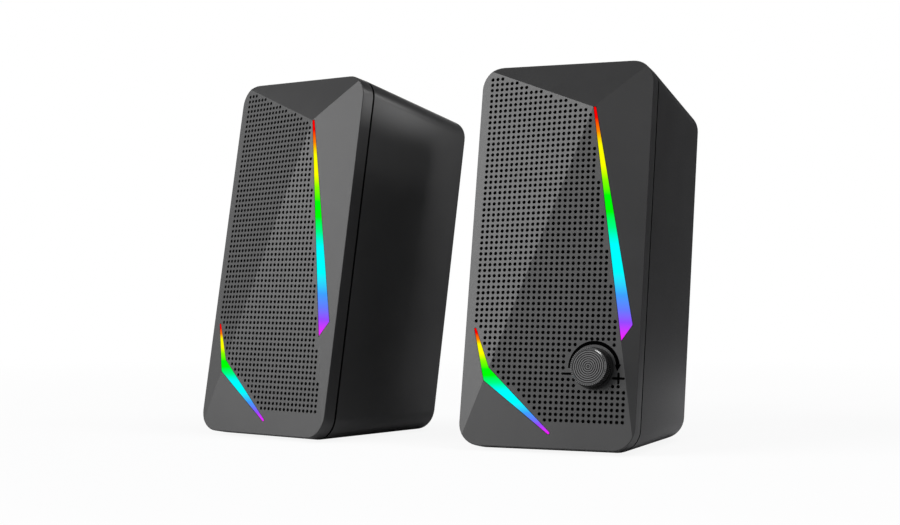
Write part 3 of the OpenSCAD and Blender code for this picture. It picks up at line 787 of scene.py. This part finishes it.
tubes, bores, lip = bmesh.new(), bmesh.new(), bmesh.new()
bore_mouth, bore_back = TUBE_BORE_R + BORE_CHAMFER + LEAD, BACK_DEPTH + OVERLAP
for tube in TUBES:
    add_lathe(tubes, tube, rod(TUBE_R, TUBE_FRONT, BACK_DEPTH - OVERLAP), ROD_SIDES)
    add_lathe(bores, tube, [
        (0, TUBE_FRONT - OVERLAP), (SHANK_R, TUBE_FRONT - OVERLAP), (SHANK_R, TUBE_FLOOR),
        (TUBE_BORE_R, TUBE_FLOOR), (TUBE_BORE_R, BACK_DEPTH - BORE_CHAMFER), (bore_mouth, BACK_DEPTH + LEAD),
        (bore_mouth, bore_back), (0, bore_back),
    ], ROD_SIDES)
lip_in = LIP_OUT + LIP_T
lip_rings = []
for inset, depth in ((LIP_OUT, LIP_BACK), (LIP_OUT, LIP_FRONT), (lip_in, LIP_FRONT), (lip_in, LIP_BACK)):
    outline = rounded_outline(inset, FACE_W - inset, inset, FACE_H - inset, CORNER_R - inset)
    lip_rings.append([(u, depth, v) for u, v in outline])
add_rings(lip, lip_rings + lip_rings[:1], caps=(False, False))
bmesh.ops.remove_doubles(lip, verts=lip.verts, dist=WELD)
inside = cabinet_block(
    CABINET_FRONT - 2 * OVERLAP, BACK_DEPTH - CABINET_WALL, CABINET_WALL, 0, HOLLOW_ROUND,
)
cutters = {"tubes": tubes, "lip": lip, "bores": bores, "hollow": inside}
cabinet_parts = {name: new_object(name, mesh_data) for name, mesh_data in cutters.items()}
print("tubes for", len(TUBES), "screws reach from", TUBE_FRONT, "mm to the back")

# %% [markdown]
# The feet sit in shallow round seats in the underside. The table is level and the face leans, so the seats
# are drawn on the table and then taken to the face's frame.

# %% Foot seats
FOOT_R, FOOT_H, SEAT_GAP, FOOT_SIDES = 5.0, 1.8, 0.1, 40
FOOT_SPOTS = [(x, y) for x in (24, 66) for y in (24, 78)]
UPRIGHT = Matrix.Rotation(math.radians(90), 4, "X")


def table_frame(speaker):
    """Matrix from millimetres on the table, beside the face's corner, to metres."""
    face = FACES[speaker]
    across = face.col[0].to_3d().normalized()
    level = Matrix((across, Vector((-across.y, across.x, 0)), Vector((0, 0, 1)))).transposed().to_4x4()
    return Matrix.Translation((face.translation.x, face.translation.y, 0)) @ level @ Matrix.Scale(MM, 4)


seats = bmesh.new()
for x, y in FOOT_SPOTS:
    add_lathe(seats, (x, -y), rod(FOOT_R + SEAT_GAP, 0, FOOT_H), FOOT_SIDES)
seats.transform(FACES["main"].inverted() @ table_frame("main") @ UPRIGHT)
cabinet_parts["seats"] = new_object("seats", seats)
print("cabinet is made with", ", ".join(cabinet_parts))

# %% [markdown]
# The cabinet's tree works like the cover's. Tubes and lip are added to the hollow shell, and the bores are
# then cut through them. The hole for the cable gland is cut for each speaker, because the two bores differ
# in size. The front edge gets the other half of the groove's painted shade.

# %% Cabinet tree
CABINET_STEPS = (
    ("DIFFERENCE", ["Hollow"]), ("UNION", ["Tubes", "Lip"]), ("DIFFERENCE", ["Bores", "Seats", "Gland"]),
)
objects = [label for operation, labels in CABINET_STEPS for label in labels]
cabinet_tree, given, result = new_tree("cabinet_shell", objects)
shape = given["Geometry"]
for operation, labels in CABINET_STEPS:
    shape = boolean(cabinet_tree, operation, shape, [shape_of(cabinet_tree, given, x) for x in labels])
finish_tree(cabinet_tree, given, result, shape)

# %% Cabinets
GLAND_AT = (BORE_AT.x, BORE_AT.z)
GLAND_WALL, GLAND_GAP, GLAND_REACH, GLAND_SIDES = 2.0, 0.05, 8, 48
GLAND_BORES = {name: mounts[f"{name}_cable_bore"]["dims"]["r_mm"] for name in FACES}
for speaker in FACES:
    gland_r = GLAND_BORES[speaker] + GLAND_WALL + GLAND_GAP
    gland_hole = rod(gland_r, BACK_DEPTH - GLAND_REACH, BACK_DEPTH + OVERLAP)
    gland_cutter = turned_object("gland_cutter", GLAND_AT, gland_hole, GLAND_SIDES)
    block = cabinet_block(CABINET_FRONT, BACK_DEPTH, 0, LIP_ROUND, BACK_ROUND)
    cabinet = new_object(f"{speaker}_shell", block)
    apply_tree(cabinet, cabinet_tree, gland=gland_cutter, finish=SHELL, **cabinet_parts)
    shade(cabinet)
    # painted shade on the front edge, the other wall of the groove
    paint_groove_shade(cabinet, 0, CABINET_FRONT + LIP_ROUND)
    dress(cabinet, speaker, speaker, "shell", f"{speaker}_cabinet")
    discard(gland_cutter)
discard(*cabinet_parts.values())

# %% [markdown]
# ## Volume knob
# The knob has a turned face: raised rings, with painted shade in the grooves between them, which take the
# skirt's near-black finish. A narrow bevel round the face takes the glint, and the grip behind it is knurled.
# The rings are steps in the lathe's profile. The knurl is one slim rib whose tip takes the face's lighter
# grey as a painted highlight, and Geometry Nodes repeats it round the grip.

# %% Knob body
KNOB_R, SKIRT_R, KNOB_SIDES = 8.8, 10.0, 96
KNOB_FRONT, KNOB_BACK, SKIRT_T = -9.57, -2.67, 1.1
SKIRT_FRONT = KNOB_BACK - SKIRT_T
RING_COUNT, RING_PITCH, RING_DEPTH, RING_BAND = 8, 1.03, 0.3, 0.01
GAP_HALF, GAP_SLOPE = 0.25, 0.06
BEVEL = 0.6
SOCKET_R, SOCKET_FRONT = 3.1, KNOB_FRONT + 2

profile = [(0, KNOB_FRONT)]
gap_floor = GAP_HALF - GAP_SLOPE
gap = (-GAP_HALF, 0), (-gap_floor, RING_DEPTH), (gap_floor, RING_DEPTH), (GAP_HALF, 0)
for i in range(RING_COUNT):
    profile += [((i + 0.5) * RING_PITCH + across, KNOB_FRONT + down) for across, down in gap]
profile += [
    (KNOB_R - BEVEL, KNOB_FRONT), (KNOB_R, KNOB_FRONT + BEVEL), (KNOB_R, SKIRT_FRONT - 0.3),
    (KNOB_R + 0.1, SKIRT_FRONT - 0.1), (SKIRT_R - 0.3, SKIRT_FRONT), (SKIRT_R - 0.05, SKIRT_FRONT + 0.2),
    (SKIRT_R, SKIRT_FRONT + 0.5), (SKIRT_R, KNOB_BACK - 0.2), (SKIRT_R - 0.2, KNOB_BACK),
    (SOCKET_R, KNOB_BACK), (SOCKET_R, SOCKET_FRONT), (0, SOCKET_FRONT),
]
knob = turned_object("knob", (KNOB_U, KNOB_V), profile, KNOB_SIDES)
for finish in (KNOB_FACE, KNOB_EDGE, KNOB_SKIRT_AND_RING_SHADE):
    knob.data.materials.append(finish)
# Ring lands take the face's grey and the bevel its own finish. Groove walls and floors take the near-black skirt
# finish: painted shade.
for face in knob.data.polygons:
    radius = math.hypot(face.center.x - KNOB_U, face.center.z - KNOB_V)
    on_ring = face.center.y < KNOB_FRONT + RING_BAND
    on_bevel = radius > KNOB_R - BEVEL and face.center.y < KNOB_FRONT + BEVEL
    face.material_index = 0 if on_ring else 1 if on_bevel else 2
print("knob face has", RING_COUNT, "rings")

# %% Knurling tree
RIB_SIDES = 8
knurl_tree, given, result = new_tree(
    "knurled_grip", [], Count="Int", Grip_Radius="Float", Rib_Radius="Float", Rib_Length="Float",
    Middle="Vector", Tip_Finish="Material",
)
circle = add_node(knurl_tree, "MeshCircle", Vertices=given["Count"], Radius=given["Grip Radius"])
rib_size = {"Radius": given["Rib Radius"], "Depth": given["Rib Length"]}
rib = add_node(knurl_tree, "MeshCylinder", Vertices=RIB_SIDES, **rib_size)
painted = rib.outputs["Mesh"]
for label, part in (("Finish", "Side"), ("Tip Finish", "Top")):
    where = {"Selection": rib.outputs[part], "Material": given[label]}
    painted = add_node(knurl_tree, "SetMaterial", Geometry=painted, **where).outputs["Geometry"]
ring = add_node(knurl_tree, "InstanceOnPoints", Points=circle.outputs["Mesh"], Instance=painted)
turn = {"Translation": given["Middle"], "Rotation": (math.radians(90), 0, 0)}
turned = add_node(knurl_tree, "Transform", Geometry=ring.outputs["Instances"], **turn)
ribs = add_node(knurl_tree, "RealizeInstances", Geometry=turned.outputs["Geometry"])
pieces = [given["Geometry"], ribs.outputs["Geometry"]]
both = add_node(knurl_tree, "JoinGeometry", Geometry=pieces)
knurl_tree.links.new(both.outputs["Geometry"], result["Geometry"])
print("knurling tree has", len(knurl_tree.nodes), "nodes")

# %% Knob
KNURL_COUNT, KNURL_R = 60, 0.32
RIB_FRONT, RIB_BACK = KNOB_FRONT + 0.25, SKIRT_FRONT - 0.1
# The ribs' tips take the face's lighter grey: a painted highlight where their ends catch the light.
apply_tree(
    knob, knurl_tree, count=KNURL_COUNT, grip_radius=KNOB_R, rib_radius=KNURL_R,
    rib_length=RIB_BACK - RIB_FRONT, middle=(KNOB_U, (RIB_FRONT + RIB_BACK) / 2, KNOB_V),
    finish=KNOB_RIB, tip_finish=KNOB_FACE,
)
shade(knob, 25)
dress(knob, "main", "volume_knob", "knob", "volume_knob")

# %% [markdown]
# ## Printed marks
# Round the knob are printed a tapering arc with an arrow head, a minus and a plus. Each is a thin patch
# that follows the facet, a few hundredths of a millimetre proud, so it stays sharp from any distance.

# %% Outlines of the marks
ARC_R, ARC_START, ARC_END, ARC_STEPS = 12.3, 180, 10, 40
ARC_THIN, ARC_THICK = 1.2, 1.8
ARROW_W, ARROW_L, ARROW_SKEW = 3.2, 3.2, 0.25
STROKE, CAP_STEPS = 1.15, 8


def polar(radius, angle, at=(KNOB_U, KNOB_V)):
    """A point round the knob, or round another point."""
    return at[0] + radius * math.cos(angle), at[1] + radius * math.sin(angle)


def capsule(a, b, width):
    """A stroke with round ends."""
    heading = math.atan2(b[1] - a[1], b[0] - a[0])
    points = []
    for end, start in ((b, -90), (a, 90)):
        turns = [math.radians(start + 180 * step / CAP_STEPS) for step in range(CAP_STEPS + 1)]
        points += [polar(width / 2, heading + turn, end) for turn in turns]
    return points


def arc_outline():
    """The tapering arc with its arrow head."""
    inner, outer = [], []
    for step in range(ARC_STEPS + 1):
        t = step / ARC_STEPS
        angle = math.radians(ARC_START + t * (ARC_END - ARC_START))
        half = (ARC_THIN + (ARC_THICK - ARC_THIN) * min(1, 2 * t)) / 2
        inner.append(polar(ARC_R - half, angle))
        outer.append(polar(ARC_R + half, angle))
    base, wing = Vector(polar(ARC_R, math.radians(ARC_END))), Vector((ARROW_W / 2, 0))
    head = [base + wing, base - Vector((ARROW_SKEW, ARROW_L)), base - wing]
    return outer + [tuple(p) for p in head] + inner[::-1]


print("arc with its head has", len(arc_outline()), "points")

# %% Printed marks
INK_T, INK_SUNK = 0.05, 0.1
SIGN_STROKES = ((MINUS_AT, (2.4, 0)), (PLUS_AT, (2.6, 0)), (PLUS_AT, (0, 2.2)))
outlines = [arc_outline()]
for (u, v), (du, dv) in SIGN_STROKES:
    outlines.append(capsule((u - du, v - dv), (u + du, v + dv), STROKE))
ink = bmesh.new()
for outline in outlines:
    add_rings(ink, [[(u, y - facet_height(u, v), v) for u, v in outline] for y in (-INK_T, INK_SUNK)])
marks = new_object("volume_marks", ink)
marks.data.materials.append(PRINT)
dress(marks, "main", "main", "inner_plastic")

# %% [markdown]
# ## Feet and cable glands
# Small pieces at the bottom and at the back. A foot is a rubber pad with a rounded rim and a ring groove,
# drawn once and set on four points by Geometry Nodes. A gland is a turned collar with an empty bore.

# %% Feet
FOOT_ROUND = 0.5
foot = turned_object("foot", (0, 0), [
    (0, 0.2), (1.8, 0.2), (2.1, 0), (3.0, 0), (3.2, 0.25), (3.5, 0.25), (3.7, 0), (FOOT_R - FOOT_ROUND, 0),
    (FOOT_R - 0.15, 0.15), (FOOT_R, FOOT_ROUND), (FOOT_R, FOOT_H), (0, FOOT_H),
], FOOT_SIDES)
foot.data.transform(UPRIGHT)
foot_tree, given, result = new_tree("feet_on_points", ["Foot"])
feet = copies(foot_tree, given["Geometry"], shape_of(foot_tree, given, "Foot"))
finish_tree(foot_tree, given, result, feet)
for speaker in FACES:
    pads = point_object(f"{speaker}_pads", [(x, y, 0) for x, y in FOOT_SPOTS])
    apply_tree(pads, foot_tree, foot=foot, finish=RUBBER)
    shade(pads, 40)
    pads.data.transform(FACES[speaker].inverted() @ table_frame(speaker))
    dress(pads, speaker, speaker, "rubber", f"{speaker}_feet")
discard(foot)

# %% Cable glands
GLAND_FLANGE, FLANGE_T, GLAND_FRONT = 2.0, 1.4, 86.8
for speaker in FACES:
    bore = GLAND_BORES[speaker]
    body, flange, back = bore + GLAND_WALL, bore + GLAND_WALL + GLAND_FLANGE, BACK_DEPTH + FLANGE_T
    collar_mesh = bmesh.new()
    collar_profile = [
        (bore, GLAND_FRONT), (body, GLAND_FRONT), (body, BACK_DEPTH), (flange - 0.2, BACK_DEPTH),
        (flange, BACK_DEPTH + 0.2), (flange, back - 0.6), (flange - 0.2, back - 0.2), (flange - 0.6, back),
        (bore + 0.4, back), (bore + 0.1, back - 0.15), (bore, back - 0.45),
    ]
    add_lathe(collar_mesh, GLAND_AT, collar_profile + collar_profile[:1], GLAND_SIDES)
    bmesh.ops.remove_doubles(collar_mesh, verts=collar_mesh.verts, dist=WELD)
    collar = new_object(f"{speaker}_collar", collar_mesh)
    collar.data.materials.append(RUBBER)
    shade(collar, 40)
    dress(collar, speaker, speaker, "rubber", f"{speaker}_cable_gland")

# %% [markdown]
# ## Inner pieces
# The driver, the boards and the screws keep the exact shapes of the frame. They are behind the grille, so
# each only needs a finish that is true to its material.

# %% Inner finishes
STEEL = grained("zinc_plated_steel", (0.45, 0.46, 0.48), (0.58, 0.59, 0.61), 0.35, 1500, 0.1, metallic=1.0)
COPPER = grained("enamelled_wire", (0.42, 0.16, 0.06), (0.6, 0.26, 0.1), 0.3, 3000, 0.2, metallic=1.0)
PAINTED = grained("black_paint", 0.012, 0.018, 0.4, 1600, 0.1)
FERRITE = grained("ferrite", 0.03, 0.045, 0.7, 1400, 0.3)
PAPER = grained("pressed_paper", 0.014, 0.022, 0.9, 900, 0.5, specular=0.2)
FIBRE = grained("pressed_fibre", 0.02, 0.03, 0.95, 800, 0.5, specular=0.2)
CLOTH = grained("dipped_cloth", (0.3, 0.17, 0.04), (0.42, 0.26, 0.08), 0.8, 1500, 0.5, specular=0.2)
BOARD = grained("solder_mask", (0.01, 0.09, 0.03), (0.015, 0.13, 0.045), 0.35, 700, 0.1)
LED_WHITE = grained("led_resin", (0.7, 0.7, 0.62), (0.8, 0.8, 0.72), 0.3, 2000, 0.05)
INNER_FINISHES = {
    "inner_plastic": BLACK_PLASTIC, "circuit_board": BOARD, "components": BLACK_PLASTIC, "led": LED_WHITE,
    "basket_steel": PAINTED, "gasket": FIBRE, "steel": STEEL, "magnet": FERRITE, "spider": CLOTH,
    "rubber": RUBBER, "cone_paper": PAPER, "coil": COPPER, "screws": STEEL, "shell": SHELL, "knob": KNOB_RIB,
    "light_guide": GUIDE_SIDE,
}
for part in frame["record"]["subparts"]:
    node = nodes[part["node"]]
    node.data.materials.clear()
    node.data.materials.append(INNER_FINISHES[part["material_slot"]])
print("finished", len(nodes), "nodes")

# %% [markdown]
# ## Floor and light
# The set is a white studio. The camera sees plain white behind the object, and so does gloss. The floor
# keeps a faint shadow near the pair and fades to white away from it: its material mixes in a white glow,
# more of it with the distance. More light would whiten the floor too, but it would also bleach the object.


# %% Background helpers
def combine(tree, operation, first, second):
    """Two values put together by a Math node."""
    node = add_node(tree, "Math", {"operation": operation})
    for source, socket in zip((first, second), node.inputs):
        tree.links.new(source, socket)
    return node.outputs["Value"]


def background_rays(tree):
    """1 for rays that show the background: from the camera, from gloss or through glass."""
    path = add_node(tree, "LightPath").outputs
    total = path["Is Camera Ray"]
    for output in ("Is Glossy Ray", "Is Transmission Ray"):
        total = combine(tree, "MAXIMUM", total, path[output])
    return total


def mix_to_output(tree, share, first, second, output):
    """Leads a mix of two shaders to the tree's output."""
    mix = add_node(tree, "MixShader", Fac=share)
    for source, socket in zip((first, second), mix.inputs[1:]):
        tree.links.new(source, socket)
    tree.links.new(mix.outputs["Shader"], tree.nodes[output].inputs["Surface"])


PLAIN_WHITE = (1, 1, 1, 1)
print("background is", PLAIN_WHITE)

# %% Floor
FLOOR_HALF = 6
FADE_FROM, FADE_TO = 0.25, 0.9
WHITE_NEAR, WHITE_FAR = 0.9, 1.0
floor_material, tree, shader = node_material("floor", grey(0.8), 0.9, specular=0.0)
where = add_node(tree, "TexCoord").outputs["Object"]
distance = add_node(tree, "VectorMath", {"operation": "LENGTH"}, Vector=where).outputs["Value"]
fade = remap(tree, distance, WHITE_NEAR, WHITE_FAR, FADE_FROM, FADE_TO)
share = combine(tree, "MULTIPLY", background_rays(tree), fade)
glow = add_node(tree, "Emission", Color=PLAIN_WHITE).outputs["Emission"]
mix_to_output(tree, share, shader.outputs["BSDF"], glow, "Material Output")
floor_mesh = bmesh.new()
bmesh.ops.create_grid(floor_mesh, x_segments=1, y_segments=1, size=FLOOR_HALF)
floor = new_object("floor", floor_mesh)
floor.data.materials.append(floor_material)
print("floor is", 2 * FLOOR_HALF, "m wide")

# %% [markdown]
# A white room that lights the object from all sides would turn charcoal plastic grey. So the world is white
# only to the rays that show the background. To all others it is a weak fill for the shadows.

# %% World
FILL = 0.22
world = bpy.data.worlds.new("studio")
world.use_nodes = True
scene.world = world
tree = world.node_tree
fill = tree.nodes["Background"]
fill.inputs["Color"].default_value = PLAIN_WHITE
fill.inputs["Strength"].default_value = FILL
white = add_node(tree, "Background", Color=PLAIN_WHITE).outputs["Background"]
mix_to_output(tree, background_rays(tree), fill.outputs["Background"], white, "World Output")
print("world fills the shadows at", FILL)

# %% [markdown]
# Smooth plastic mirrors what stands round it. A photographer puts cards beside a dark object, so that its
# sides and upper facets mirror those and not the white room. Six cards, which only gloss sees, do that
# here.

# %% Cards
CARD_HEIGHT, FRONT_HEIGHT, CEILING = 0.9, 0.62, 1.5


def upright(a, b, height):
    """Corners of a standing card."""
    return (*a, 0), (*b, 0), (*b, height), (*a, height)


def level(xs, ys, z):
    """Corners of a lying card."""
    return (xs[0], ys[0], z), (xs[1], ys[0], z), (xs[1], ys[1], z), (xs[0], ys[1], z)


CARDS = {
    "back_card": (0.08, upright((-0.3, 1.5), (1.25, 1.03), CARD_HEIGHT)),
    "right_card": (0.3, upright((1.25, 1.03), (1.7, 0), CARD_HEIGHT)),
    "front_card": (0.1, upright((-0.2, -2), (1.2, -1.7), FRONT_HEIGHT)),
    "far_card": (0.2, level((-2, 2), (-2, 2), 0.0004)),
    "near_card": (0.8, level((-0.4, 0.55), (-0.15, 0.38), 0.0005)),
    "top_card": (0.06, level((-2, 2.3), (-1.5, 2.3), CEILING)),
}
for name, (tone, corners) in CARDS.items():
    card_mesh = bmesh.new()
    card_mesh.faces.new([card_mesh.verts.new(corner) for corner in corners])
    card = new_object(name, card_mesh)
    card.data.materials.append(node_material(name, grey(tone), 0.9, specular=0.0)[0])
    card.visible_camera = card.visible_diffuse = card.visible_shadow = card.visible_transmission = False
print("cards:", ", ".join(CARDS))

# %% [markdown]
# One wide softbox to the left of the camera gives the bright facets. A weak one in front lifts the
# right-hand facets, and a small one above on the right gives the knob's glint. Two small lamps on the right
# draw the satellite's side and upper edge. They light the satellite alone, as a flag keeps a studio lamp
# off what stands nearer.

# %% Softboxes
AIM = Vector((0, 0, 0.09))
LAMPS = {
    "key": (-45.5, 21.7, 8, (6.06, 3.72), 10),
    "front": (7, 33, 2, (0.56, 0.5), 2),
    "glint": (96, 70, 1.3, (0.25, 0.9), 12),
    "side_low": (118, 15, 0.7, (0.2, 0.12), 12),
    "side_high": (121, 32, 0.8, (0.2, 0.06), 30),
}


def softbox(name, azimuth, elevation, distance, size, radiance):
    """A rectangular lamp of even brightness, turned to the pair."""
    lamp = bpy.data.lights.new(name, "AREA")
    lamp.shape = "RECTANGLE"
    lamp.size, lamp.size_y = size
    lamp.energy = radiance * size[0] * size[1] * math.pi
    a, e = math.radians(azimuth), math.radians(elevation)
    away = Vector((math.sin(a) * math.cos(e), -math.cos(a) * math.cos(e), math.sin(e)))
    holder = bpy.data.objects.new(name, lamp)
    holder.location = AIM + away * distance
    holder.rotation_euler = (-away).to_track_quat("-Z", "Y").to_euler()
    scene.collection.objects.link(holder)
    return holder


lamps = {name: softbox(name, *values) for name, values in LAMPS.items()}
satellite_only = bpy.data.collections.new("satellite_only")
for name in ("satellite_cover", "satellite_shell"):
    satellite_only.objects.link(bpy.data.objects[name])
for name in ("side_low", "side_high"):
    lamps[name].light_linking.receiver_collection = satellite_only
scene.view_settings.view_transform = "Standard"
print("lamps:", ", ".join(lamps))
